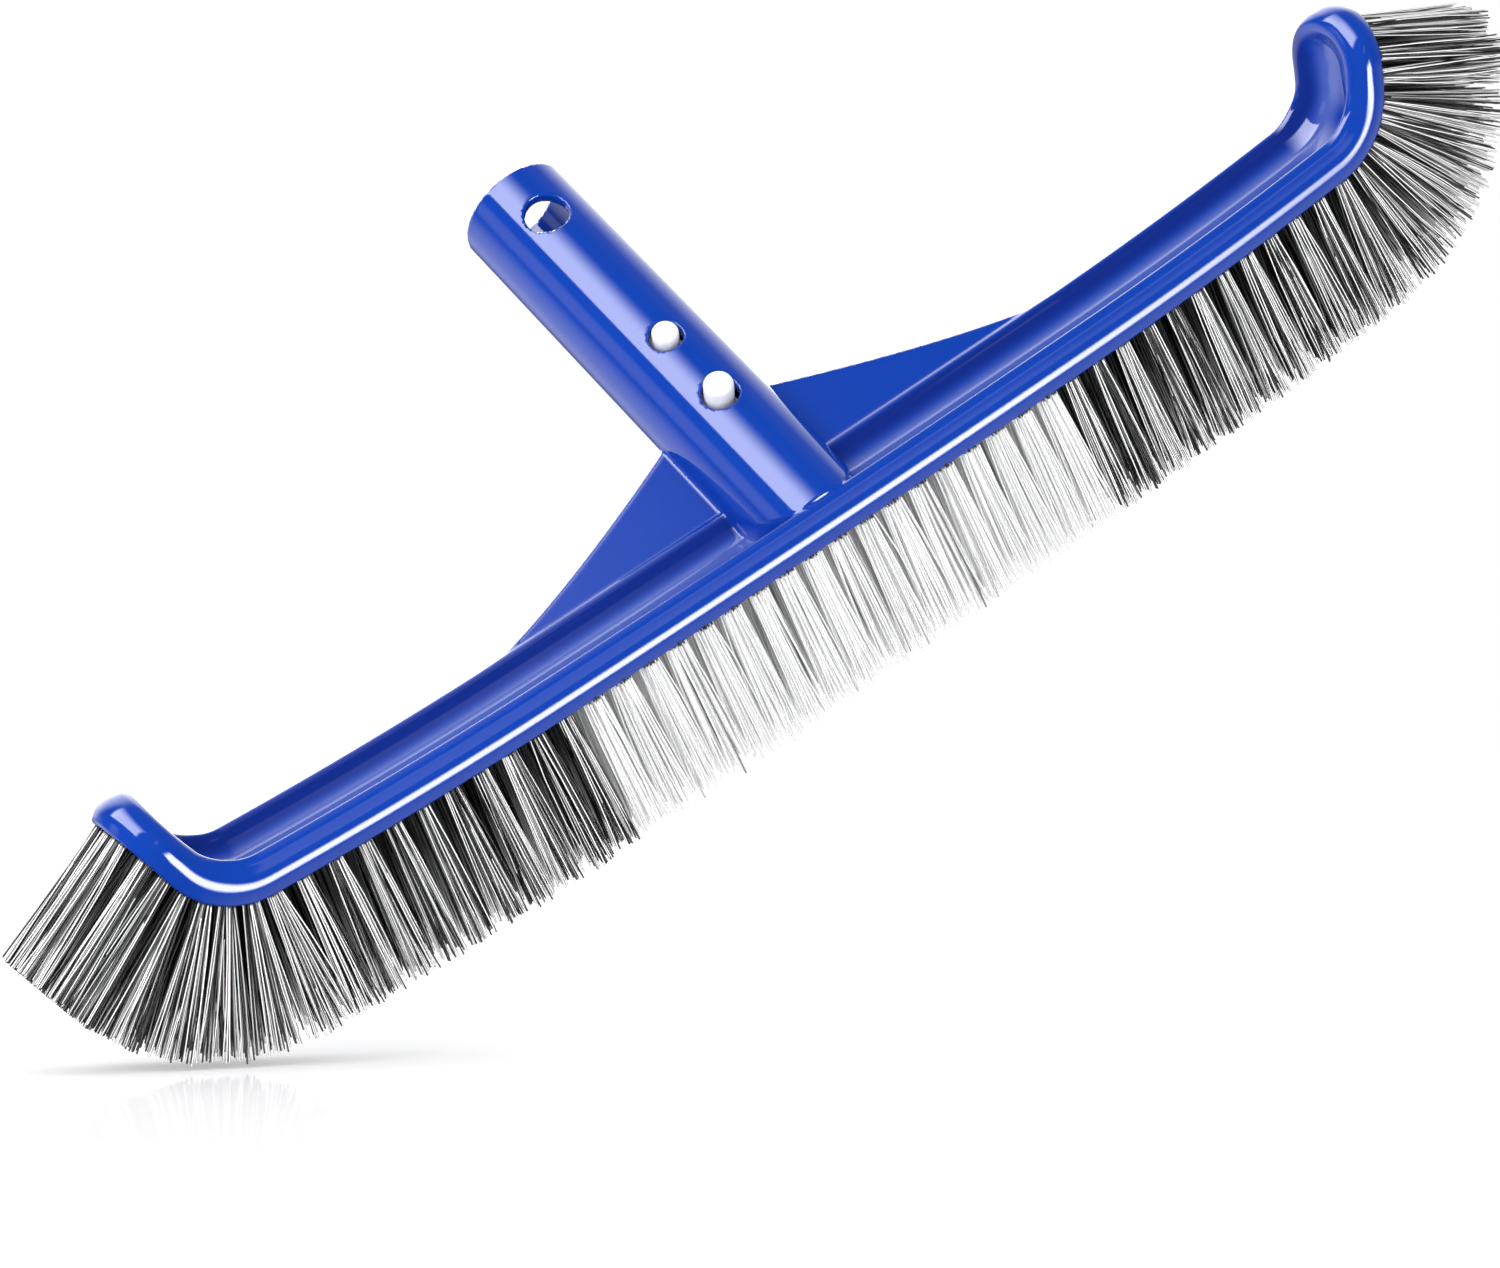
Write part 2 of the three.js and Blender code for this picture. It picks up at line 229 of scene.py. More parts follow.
def spine_point(along, up):
    """X, Z and slope angle of points given by signed arc length and height above the spine."""
    distance = np.abs(along)
    x = np.zeros(np.shape(distance))
    z = np.zeros(np.shape(distance))
    angle = np.zeros(np.shape(distance))
    for start, first, last, radius, centre in SEGMENTS:
        here = distance >= start
        turned = first + (distance - start) / radius
        x = np.where(here, centre[0] + radius * np.sin(turned), x)
        z = np.where(here, centre[1] - radius * np.cos(turned), z)
        angle = np.where(here, turned, angle)
    length, last, x0, z0 = TAIL
    here = distance >= length
    x = np.where(here, x0 + (distance - length) * math.cos(last), x)
    z = np.where(here, z0 + (distance - length) * math.sin(last), z)
    angle = np.where(here, last, angle)
    side = np.where(along < 0.0, -1.0, 1.0)
    return side * (x - up * np.sin(angle)), BRISTLE_LENGTH + z + up * np.cos(angle), side * angle


# ---------------------------------------------------------------- body as a distance field

def smooth_max(a, b, blend):
    """The larger of two fields, rounded over a width of blend where they cross."""
    overlap = np.maximum(blend - np.abs(a - b), 0.0) / blend
    return np.maximum(a, b) + overlap * overlap * blend / 4.0


def smooth_min(a, b, blend):
    """The smaller of two fields, filleted over a width of blend where they cross."""
    return -smooth_max(-a, -b, blend)


def ramp(value, low, high):
    """Smooth step from 0 at low to 1 at high."""
    t = np.clip((value - low) / (high - low), 0.0, 1.0)
    return t * t * (3.0 - 2.0 * t)


def line_field(out, up, start, end):
    """Signed distance to the line from start to end; positive to its right."""
    run, rise = end[0] - start[0], end[1] - start[1]
    size = math.hypot(run, rise)
    return ((out - start[0]) * rise - (up - start[1]) * run) / size


def tray_field(x, y, z):
    """Distance to the tray: its half section carried round a long loop."""
    along, up = spine_coordinates(x, z)
    cap = SPINE_HALF - TRAY_HALF_WIDTH
    out = np.hypot(np.maximum(along - cap, 0.0), y)
    tip = ramp(along, cap + TIP_RIM_RUN[0], cap + TIP_RIM_RUN[1])
    inner = out + TIP_RIM_EXTRA * tip
    lift = TIP_LIFT * ramp(along, cap + TIP_LIFT_RUN[0], cap + TIP_LIFT_RUN[1]) * ramp(y, *TIP_LIFT_ACROSS)
    shoulder = (TRAY_HALF_WIDTH, SHOULDER_HEIGHT)
    lower = line_field(out, up, (BASE_HALF_WIDTH, 0.0), shoulder)
    upper = line_field(out, up, shoulder, (CREST_OUTER, CREST_HEIGHT))
    wall = line_field(inner, up, (CREST_INNER, CREST_HEIGHT), (CHANNEL_HALF_WIDTH, CHANNEL_FLOOR))
    crest = up - CREST_HEIGHT - lift
    rim = smooth_max(lower, upper, RIM_ROUND)
    rim = smooth_max(rim, crest, RIM_ROUND + TIP_CREST_ROUND * tip)
    rim = smooth_max(rim, wall, WALL_ROUND + TIP_WALL_ROUND * tip)
    slab = smooth_max(up - CHANNEL_FLOOR, out - SLAB_HALF_WIDTH, SLAB_ROUND)
    tray = smooth_min(rim, slab, CHANNEL_FILLET)
    return smooth_max(tray, -up, BASE_ROUND)


def socket_field(x, y, z, at, radial):
    """Distance to the socket without its bore. Its foot ends in a bowed line over the front rim."""
    taper = (SOCKET_MOUTH_RADIUS - SOCKET_FOOT_RADIUS) / SOCKET_LENGTH
    socket = smooth_max(radial - SOCKET_FOOT_RADIUS - taper * at, at - SOCKET_LENGTH, MOUTH_ROUND)
    share = np.abs(x) / SOCKET_FOOT_RADIUS
    front = FOOT_FRONT + FOOT_BOW * share**3 - y
    slope = 3.0 * FOOT_BOW / SOCKET_FOOT_RADIUS * share**2
    socket = smooth_max(socket, front / np.sqrt(1.0 + slope * slope), FOOT_ROUND)
    return smooth_max(socket, BRISTLE_LENGTH + FOOT_TRIM - z, MOUTH_ROUND)


def web_field(side, at, top):
    """Distance to the webs: a plate whose free edge sweeps up to the socket from both sides."""
    span = WEB_REACH - WEB_INNER
    rise = WEB_TOP - WEB_TOE
    share = np.clip((WEB_REACH - side) / span, *WEB_SHARES)
    edge = WEB_TOE + rise * share**WEB_SWEEP
    slope = WEB_SWEEP * rise / span * share ** (WEB_SWEEP - 1.0)
    plate = np.abs(top - WEB_OFFSET) - WEB_HALF_THICKNESS
    web = smooth_max(plate, (at - edge) / np.sqrt(1.0 + slope * slope), WEB_EDGE_ROUND)
    web = smooth_max(web, side - WEB_REACH, EDGE_ROUND)
    return smooth_max(web, WEB_ROOT - at, EDGE_ROUND)


def body_field(points):
    """Signed distance to the one-piece moulding, at points of shape (n, 3)."""
    x, y, z = points[:, 0], points[:, 1], points[:, 2]
    local = points - SOCKET_FOOT
    at = local @ SOCKET_AXIS
    top = local @ SOCKET_TOP
    radial = np.hypot(x, top)
    body = smooth_min(tray_field(x, y, z), socket_field(x, y, z, at, radial), SOCKET_FILLET)
    body = smooth_min(body, web_field(np.abs(x), at, top), WEB_FILLET)
    bore = smooth_max(radial - BORE_RADIUS, BORE_FLOOR - at, BORE_FLOOR_ROUND)
    body = smooth_max(body, -bore, EDGE_ROUND)
    for (centre, radius), both_walls in ((POLE_HOLE, True), (LOCK_HOLE, False), (THUMB_HOLE, False)):
        hole = np.hypot(x, at - centre) - radius
        if not both_walls:
            hole = np.maximum(hole, -top)
        body = smooth_max(body, -hole, HOLE_ROUND)
    return body


def field_normals(field, points, step=0.08):
    """Unit gradient of a field, and its size."""
    gradient = np.empty_like(points)
    for axis in range(3):
        offset = np.zeros(3)
        offset[axis] = step
        gradient[:, axis] = (field(points + offset) - field(points - offset)) / (2.0 * step)
    size = np.linalg.norm(gradient, axis=1)
    return gradient / np.maximum(size, 1e-6)[:, None], size


def graded(marks):
    """Grid planes: each mark is (start, spacing), and the last mark ends the axis."""
    planes = []
    for (start, spacing), (stop, _) in zip(marks, marks[1:]):
        count = max(1, round((stop - start) / spacing))
        planes.append(start + (stop - start) * np.arange(count) / count)
    planes.append([marks[-1][0]])
    return np.concatenate(planes)


def grid_values(field, along, across, up):
    """The field at the planes of the bent grid. Far along the spine only the tray is near."""
    x, z, _ = spine_point(along[:, None], up[None, :])
    values = np.ones((len(along), len(across), len(up)), np.float32)
    tray_wide = np.searchsorted(across, TRAY_REACH)
    tray_tall = np.searchsorted(up, TRAY_REACH)
    for i, distance in enumerate(np.abs(along)):
        near = distance < WEB_REACH + WEB_MARGIN
        wide = len(across) if near else tray_wide
        tall = len(up) if near else tray_tall
        points = np.empty((wide, tall, 3))
        points[:, :, 0] = x[i, :tall]
        points[:, :, 1] = across[:wide, None]
        points[:, :, 2] = z[i, :tall]
        values[i, :wide, :tall] = field(points.reshape(-1, 3)).reshape(wide, tall)
    return x, z, values


def surface_net(field, along, across, up):
    """A quad mesh of the field's zero surface: one vertex in each grid cell that it crosses."""
    x, z, values = grid_values(field, along, across, up)
    counts = values.shape
    inside = values < 0.0
    corners = sum(
        inside[i : counts[0] - 1 + i, j : counts[1] - 1 + j, k : counts[2] - 1 + k].astype(np.int8)
        for i in (0, 1)
        for j in (0, 1)
        for k in (0, 1)
    )
    active = (corners > 0) & (corners < 8)
    cells = np.argwhere(active)
    number = np.full(active.shape, -1, np.int64)
    number[active] = np.arange(len(cells))

    def place(node):
        i, j, k = node.T
        return np.stack([x[i, k], across[j], z[i, k]], axis=1)

    total = np.zeros((len(cells), 3))
    crossings = np.zeros(len(cells))
    unit = np.eye(3, dtype=int)
    for axis in range(3):
        for j in (0, 1):
            for k in (0, 1):
                start = cells + j * unit[(axis + 1) % 3] + k * unit[(axis + 2) % 3]
                end = start + unit[axis]
                first = values[tuple(start.T)]
                last = values[tuple(end.T)]
                crossed = (first < 0.0) != (last < 0.0)
                share = np.where(crossed, first / np.where(crossed, first - last, 1.0), 0.0)
                point = place(start) * (1.0 - share[:, None]) + place(end) * share[:, None]
                total += crossed[:, None] * point
                crossings += crossed
    vertices = total / crossings[:, None]

    quads = []
    for axis in range(3):
        b, c = unit[(axis + 1) % 3], unit[(axis + 2) % 3]
        lower = [slice(0, n - (i == axis)) for i, n in enumerate(counts)]
        upper = [slice(int(i == axis), n) for i, n in enumerate(counts)]
        first, last = inside[tuple(lower)], inside[tuple(upper)]
        edges = np.argwhere(first != last)
        leaving = first[tuple(edges.T)]
        ring = [number[tuple((edges - step).T)] for step in (0 * b, b, b + c, c)]
        faces = np.stack(ring, axis=1)
        faces[~leaving] = faces[~leaving][:, ::-1]
        quads.append(faces)
    return vertices, np.concatenate(quads)


def settle(field, vertices, quads, rounds=3, longest_step=0.6, least_slope=0.3):
    """Evens out the net and puts every vertex on the field's zero surface."""
    edges = np.concatenate([quads[:, [i, (i + 1) % 4]] for i in range(4)])
    for turn in range(rounds + 1):
        if turn:
            total = np.zeros_like(vertices)
            count = np.zeros(len(vertices))
            for a, b in ((0, 1), (1, 0)):
                np.add.at(total, edges[:, a], vertices[edges[:, b]])
                np.add.at(count, edges[:, a], 1.0)
            vertices = 0.5 * vertices + 0.5 * total / count[:, None]
        for _ in range(2):
            normal, size = field_normals(field, vertices)
            step = field(vertices) / np.maximum(size, least_slope)
            vertices = vertices - np.clip(step, -longest_step, longest_step)[:, None] * normal
    return vertices


def add_mesh(name, vertices, faces, normals):
    """A smooth-shaded mesh object from millimetre coordinates."""
    mesh = bpy.data.meshes.new(name)
    mesh.from_pydata((np.asarray(vertices) * MM).tolist(), [], np.asarray(faces).tolist())
    mesh.polygons.foreach_set("use_smooth", [True] * len(mesh.polygons))
    mesh.normals_split_custom_set_from_vertices(normals.tolist())
    mesh.update()
    made = bpy.data.objects.new(name, mesh)
    bpy.context.scene.collection.objects.link(made)
    return made


def add_attribute(piece, name, values):
    """One number per vertex, for the material to read."""
    attribute = piece.data.attributes.new(name, "FLOAT", "POINT")
    attribute.data.foreach_set("value", values.astype(np.float32))


def channel_painted_light(vertices):
    """Shares of the painted reflection on the channel's floor and of the painted shade on its back wall."""
    x, y, z = vertices[:, 0], vertices[:, 1], vertices[:, 2]
    _, up = spine_coordinates(x, z)
    across = np.abs(y - PAINTED_REFLECTION_MIDDLE)
    painted_reflection = 1.0 - ramp(up, CHANNEL_FLOOR, CHANNEL_FLOOR + PAINTED_REFLECTION_HEIGHT)
    painted_reflection = painted_reflection * (1.0 - ramp(across, *PAINTED_REFLECTION_WIDTH)) * (up > PAINTED_REFLECTION_BASE)
    # painted shade across the back wall, kept off beside the socket
    painted_shade = ramp(y, *PAINTED_SHADE_FROM) * (1.0 - ramp(y, *PAINTED_SHADE_TO))
    painted_shade = painted_shade * ramp(np.abs(x), SOCKET_FOOT_RADIUS, SOCKET_FOOT_RADIUS + PAINTED_SHADE_GAP)
    painted_shade = painted_shade * ramp(up, *PAINTED_SHADE_RISE) * (1.0 - ramp(up, *PAINTED_SHADE_TOP))
    return painted_reflection, painted_shade


def make_body():
    """The moulding that stands for the CAD's brush_body."""
    half = graded(GRID_ALONG)
    along = np.concatenate([-half[:0:-1], half])
    vertices, quads = surface_net(body_field, along, graded(GRID_ACROSS), graded(GRID_UP))
    vertices = settle(body_field, vertices, quads)
    normals, _ = field_normals(body_field, vertices)
    body = add_mesh("moulded_head", vertices, quads, normals)
    # painted light and shade of the channel, kept as mesh attributes for the material
    painted_reflection, painted_shade = channel_painted_light(vertices)
    add_attribute(body, "painted_reflection", painted_reflection)
    add_attribute(body, "painted_shade", painted_shade)
    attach(body, "head")
    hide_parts("brush_body")
    return body


# ---------------------------------------------------------------- clip

def socket_matrix():
    """From the socket's frame (x across, y along the axis, z out of the top) to the brush, in metres."""
    rotation = Matrix(((1.0, 0.0, 0.0), SOCKET_AXIS, SOCKET_TOP)).transposed().to_4x4()
    return Matrix.Translation(Vector(SOCKET_FOOT) * MM) @ rotation


def extrude_outline(mesh, outline, half_width):
    """A closed prism in a bmesh: the outline lies in the (y, z) plane and x runs across."""
    left = [mesh.verts.new((-half_width * MM, y * MM, z * MM)) for y, z in outline]
    right = [mesh.verts.new((half_width * MM, y * MM, z * MM)) for y, z in outline]
    mesh.faces.new(left)
    mesh.faces.new(right[::-1])
    count = len(outline)
    for i in range(count):
        j = (i + 1) % count
        mesh.faces.new((left[j], left[i], right[i], right[j]))


def finish_clip_piece(mesh, name, node, body, edge_round):
    """Rounds the edges of a clip piece, places it in the socket and lets it stand for its node."""
    bmesh.ops.recalc_face_normals(mesh, faces=mesh.faces)
    data = bpy.data.meshes.new(name)
    mesh.to_mesh(data)
    mesh.free()
    piece = bpy.data.objects.new(name, data)
    bpy.context.scene.collection.objects.link(piece)
    piece.data.transform(socket_matrix())
    piece.data.polygons.foreach_set("use_smooth", [True] * len(data.polygons))
    bevel = piece.modifiers.new("round_edges", "BEVEL")
    bevel.width = edge_round * MM
    bevel.segments = BEVEL_SEGMENTS
    bevel.limit_method = "ANGLE"
    bevel.angle_limit = SHARP_EDGE
    bevel.harden_normals = True
    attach(piece, body)
    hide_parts(node)
    return piece


def add_button(mesh, button):
    """A lathed button with a rounded top."""
    profile = [(button["radius"], ARM_TOP - CLIP_THICKNESS / 2)]
    for i in range(BUTTON_STEPS + 1):
        angle = i / BUTTON_STEPS * math.pi / 2
        out = button["radius"] - button["round"] * (1.0 - math.cos(angle))
        profile.append((out, button["top"] - button["round"] * (1.0 - math.sin(angle))))
    rings = []
    for out, up in profile:
        ring = []
        for i in range(BUTTON_SIDES):
            turn = 2.0 * math.pi * i / BUTTON_SIDES
            x = out * math.cos(turn)
            y = button["at"] + out * math.sin(turn)
            ring.append(mesh.verts.new((x * MM, y * MM, up * MM)))
        rings.append(ring)
    for low, high in zip(rings, rings[1:]):
        for i in range(BUTTON_SIDES):
            j = (i + 1) % BUTTON_SIDES
            mesh.faces.new((low[i], low[j], high[j], high[i]))
    mesh.faces.new(rings[-1])
    mesh.faces.new(rings[0][::-1])


def make_clip_arm():
    """The springy arm with its two buttons."""
    mesh = bmesh.new()
    end = HINGE_AT - HINGE_GAP
    low = ARM_TOP - CLIP_THICKNESS
    outline = [(ARM_START, low), (end, low), (end, ARM_TOP), (ARM_START, ARM_TOP)]
    extrude_outline(mesh, outline, ARM_HALF_WIDTH)
    add_button(mesh, LOCK_BUTTON)
    add_button(mesh, THUMB_BUTTON)
    return finish_clip_piece(
        mesh, "clip_arm_and_buttons", "clip_button_arm", "clip_arm", ARM_EDGE_ROUND
    )


def make_clip_leg():
    """The clip's back leg and its fold."""
    mesh = bmesh.new()
    inner = ARM_TOP - CLIP_THICKNESS
    turn = [math.pi / 2 - math.pi * i / FOLD_STEPS for i in range(FOLD_STEPS + 1)]
    inside = [(HINGE_AT + inner * math.cos(a), inner * math.sin(a)) for a in turn]
    outside = [(HINGE_AT + ARM_TOP * math.cos(a), ARM_TOP * math.sin(a)) for a in turn]
    outline = inside + [(LEG_START, -inner), (LEG_START, -ARM_TOP)] + outside[::-1]
    extrude_outline(mesh, outline, LEG_HALF_WIDTH)
    return finish_clip_piece(mesh, "clip_leg_and_fold", "clip_back_leg", "head", LEG_EDGE_ROUND)


# ---------------------------------------------------------------- bristles

def row_place(column):
    """A cross row's root point, its axes (tangent, across, down), the spine's turn and the tips' fan."""
    in_hook = max(0, abs(column) - BACK_COLUMNS)
    along = math.copysign((abs(column) - in_hook) * BACK_PITCH + in_hook * HOOK_PITCH, column)
    x, z, angle = (float(v) for v in spine_point(along, 0.0))
    tangent = np.array([math.cos(angle), 0.0, math.sin(angle)])
    across = np.array([0.0, 1.0, 0.0])
    down = np.array([math.sin(angle), 0.0, -math.cos(angle)])
    reach = (HOOK_PITCH if in_hook else BACK_PITCH) / 2
    turned = spine_point(np.array([along - reach, along + reach]), 0.0)[2]
    fan = BRISTLE_LENGTH * (1.0 - HOOK_LEAN) * abs(float(turned[1] - turned[0])) / 2
    return np.array([x, 0.0, z]), (tangent, across, down), angle, fan


def filament_paths(random, row, radii, angle, fan):
    """Curved filaments: distances along the tangent, across and down at each level, and their shades."""
    count = len(row)
    rows = count // FILAMENTS
    index = np.tile(np.arange(FILAMENTS), rows)
    spread = np.sqrt((index + 0.5) / FILAMENTS)
    turn = index * GOLDEN_ANGLE + random.uniform(0.0, TURN_JITTER, count) + row * ROW_TURN
    root_radius, tip_radius = radii
    root_u = root_radius * spread * np.cos(turn)
    root_v = root_radius * spread * np.sin(turn)
    lean = random.normal(0.0, TUFT_SCATTER, (rows, 2)).repeat(FILAMENTS, axis=0)
    tip_u = root_u * (tip_radius + fan) / root_radius + lean[:, 0]
    tip_u = tip_u + random.normal(0.0, TIP_SCATTER, count)
    tip_u = tip_u - BRISTLE_LENGTH * math.tan(HOOK_LEAN * angle)
    tip_v = root_v * tip_radius / root_radius + lean[:, 1]
    tip_v = tip_v + random.normal(0.0, TIP_SCATTER, count)
    tip_v = tip_v + row * ROW_SPLAY
    bow = random.normal(0.0, BOW_SCATTER, (count, 2))
    length = BRISTLE_LENGTH - np.abs(random.normal(0.0, LENGTH_SCATTER, count))
    shade = random.uniform(0.0, 1.0, count)

    t = np.linspace(0.0, 1.0, FILAMENT_LEVELS)
    u = root_u[:, None] * (1 - t) + tip_u[:, None] * t + bow[:, :1] * 4 * t * (1 - t)
    v = root_v[:, None] * (1 - t) + tip_v[:, None] * t + bow[:, 1:] * 4 * t * (1 - t)
    v = v + (row * ROW_PITCH)[:, None]
    w = -FILAMENT_SINK * (1 - t) + length[:, None] * t
    return u, v, w, shade


def filament_faces(count):
    """Faces of closed tubes whose vertices run round each level of each filament in turn."""
    sides, levels = FILAMENT_SIDES, FILAMENT_LEVELS
    base = (np.arange(count) * levels * sides)[:, None, None]
    level = (np.arange(levels - 1) * sides)[None, :, None]
    side = np.arange(sides)[None, None, :]
    a = base + level + side
    b = base + level + (side + 1) % sides
    walls = np.stack([a, b, b + sides, a + sides], axis=-1).reshape(-1, 4)
    end = base[:, 0, :] + (levels - 1) * sides + np.arange(sides)
    start = base[:, 0, :] + np.arange(sides)[::-1]
    return np.concatenate([walls[:, ::-1], end[:, ::-1], start[:, ::-1]])


def make_tuft_row(column, random):
    """One cross row of tufts as separate curved filaments."""
    rows = END_ROWS if abs(column) == LAST_COLUMN else FULL_ROWS
    row = np.repeat(np.arange(rows) - (rows - 1) / 2, FILAMENTS)
    white = FIRST_WHITE <= column <= LAST_WHITE
    kind = "hook" if abs(column) > BACK_COLUMNS else "white" if white else "grey"
    origin, axes, angle, fan = row_place(column)
    u, v, w, shade = filament_paths(random, row, TUFT_RADII[kind], angle, fan)

    tangent, across, down = axes
    centre = origin + u[:, :, None] * tangent + v[:, :, None] * across + w[:, :, None] * down
    ring = 2.0 * math.pi * (np.arange(FILAMENT_SIDES) + 0.5) / FILAMENT_SIDES
    offset = np.cos(ring)[:, None] * tangent + np.sin(ring)[:, None] * across
    radius = FILAMENT_RADIUS * np.linspace(1.0, FILAMENT_TAPER, FILAMENT_LEVELS)
    vertices = centre[:, :, None, :] + radius[None, :, None, None] * offset[None, None, :, :]
    normals = np.tile(offset, (len(row) * FILAMENT_LEVELS, 1))
    number = f"{column + LAST_COLUMN + 1:02d}"
    piece = add_mesh(f"bristle_row_{number}", vertices.reshape(-1, 3), filament_faces(len(row)), normals)

    each = FILAMENT_SIDES * FILAMENT_LEVELS
    depth = np.tile(np.repeat(np.linspace(0.0, 1.0, FILAMENT_LEVELS), FILAMENT_SIDES), len(row))
    inner = np.repeat((np.abs(row) < (rows - 1) / 2) & (abs(column) < LAST_COLUMN), each)
    add_attribute(piece, "shade", np.repeat(shade, each))
    add_attribute(piece, "depth", depth)
    # painted shade: inner tufts are darker, lifting towards their tips
    add_attribute(piece, "painted_light", np.where(inner, ramp(depth, PAINTED_LIGHT_FROM, 1.0), 1.0))
    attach(piece, "head")
    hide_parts(f"tuft_row_{number}")
    return piece, white


# ---------------------------------------------------------------- materials

BLUE_TONES = ((0.004, 0.042, 0.34), (0.005, 0.048, 0.38))
BLUE_ROUGHNESS = (0.05, 0.08)
BLUE_PEEL = 0.01
PAINTED_REFLECTION_COLOR = (0.07, 0.12, 0.44)  # painted reflection: the lighter tone of the channel's floor
PAINTED_SHADE_COLOR = (0.005, 0.024, 0.22)  # painted shade of the channel's back wall, where less light reaches it
# painted reflection and painted shade, mixed into the blue by mesh attributes
PAINTED_LIGHT_LAYERS = (("painted_reflection", PAINTED_REFLECTION_COLOR), ("painted_shade", PAINTED_SHADE_COLOR))
CLIP_TONES = ((0.86, 0.86, 0.84), (0.90, 0.90, 0.88))
CLIP_ROUGHNESS = (0.25, 0.35)
CLIP_PEEL = 0.04
DRIFT_SCALE = 18.0  # of the noises in a moulded plastic: colour drift, flow marks and orange peel
FLOW_SCALE = 60.0
FLOW_DETAIL = 4.0
PEEL_SCALE = 420.0
PEEL_DEPTH = 0.0002  # metres

# Nylon. Each filament's own number, 0 to 1, picks its grey from the (number, grey) stops. Painted shade:
# the inner and flank values are the brightness left on inner tufts and on a filament's flanks. The glow
# is painted: emission that makes the filaments brighter.
GREY_NYLON = {
    "stops": [(0.0, 0.0), (0.38, 0.01), (0.43, 0.88), (1.0, 1.0)],
    "inner": 0.05,
    "painted_flank_shade": 0.0,
    "painted_glow": 0.22,
}
WHITE_NYLON = {
    "stops": [(0.0, 0.12), (0.06, 0.74), (0.3, 0.91), (1.0, 0.97)],
    "inner": 0.6,
    "painted_flank_shade": 0.8,
    "painted_glow": 0.14,
}
FLANK_PAINTED_SHADE = (0.18, 0.42)  # how far round a filament the painted shade on its sides starts and is full
ROOT_PAINTED_SHADOW = (0.028, 0.042)  # shares of a filament's length between which the painted shadow at its root ends
NYLON_ROUGHNESS = 0.4


def new_material(name):
    """An empty node material with a Principled shader, returned with its tree and shader."""
    material = bpy.data.materials.new(name)
    material.use_nodes = True
    tree = material.node_tree
    return material, tree, tree.nodes["Principled BSDF"]


def mix_colors(tree, factor, dark, light):
    """A colour mix driven by a factor socket."""
    mix = tree.nodes.new("ShaderNodeMix")
    mix.data_type = "RGBA"
    mix.inputs["A"].default_value = (*dark, 1.0)
    mix.inputs["B"].default_value = (*light, 1.0)
    tree.links.new(factor, mix.inputs["Factor"])
    return mix.outputs["Result"]


def object_noise(tree, scale, detail=2.0):
    """Noise in object space, so it needs no UVs."""
    coordinates = tree.nodes.new("ShaderNodeTexCoord")
    noise = tree.nodes.new("ShaderNodeTexNoise")
    noise.inputs["Scale"].default_value = scale
    noise.inputs["Detail"].default_value = detail
    tree.links.new(coordinates.outputs["Object"], noise.inputs["Vector"])
    return noise.outputs["Fac"]


def mesh_value(tree, name):
    """A mesh attribute's value at the shaded point."""
    node = tree.nodes.new("ShaderNodeAttribute")
    node.attribute_name = name
    return node.outputs["Fac"]


def mapped(tree, value, before, after):
    """A value carried from one range to another, and held inside it."""
    node = tree.nodes.new("ShaderNodeMapRange")
    for name, number in zip(("From Min", "From Max", "To Min", "To Max"), (*before, *after)):
        node.inputs[name].default_value = number
    tree.links.new(value, node.inputs["Value"])
    return node.outputs["Result"]


def product(tree, first, second):
    """The product of two values."""
    node = tree.nodes.new("ShaderNodeMath")
    node.operation = "MULTIPLY"
    tree.links.new(first, node.inputs[0])
    tree.links.new(second, node.inputs[1])
    return node.outputs["Value"]


def gloss_plastic(name, tones, roughness, peel, layers=()):
    """Moulded plastic: slight colour drift, faint flow marks and a hint of orange peel."""
    material, tree, shader = new_material(name)
    dark, light = tones
    color = mix_colors(tree, object_noise(tree, DRIFT_SCALE), dark, light)
    # each layer paints light or shade over the colour where its mesh attribute is high
    for attribute, tone in layers:
        toned = mix_colors(tree, mesh_value(tree, attribute), dark, tone)
        tree.links.new(color, toned.node.inputs["A"])
        color = toned
    tree.links.new(color, shader.inputs["Base Color"])
    flow = mapped(tree, object_noise(tree, FLOW_SCALE, FLOW_DETAIL), (0.0, 1.0), roughness)
    tree.links.new(flow, shader.inputs["Roughness"])
    bump = tree.nodes.new("ShaderNodeBump")
    bump.inputs["Strength"].default_value = peel
    bump.inputs["Distance"].default_value = PEEL_DEPTH
    tree.links.new(object_noise(tree, PEEL_SCALE), bump.inputs["Height"])
    tree.links.new(bump.outputs["Normal"], shader.inputs["Normal"])
    return material


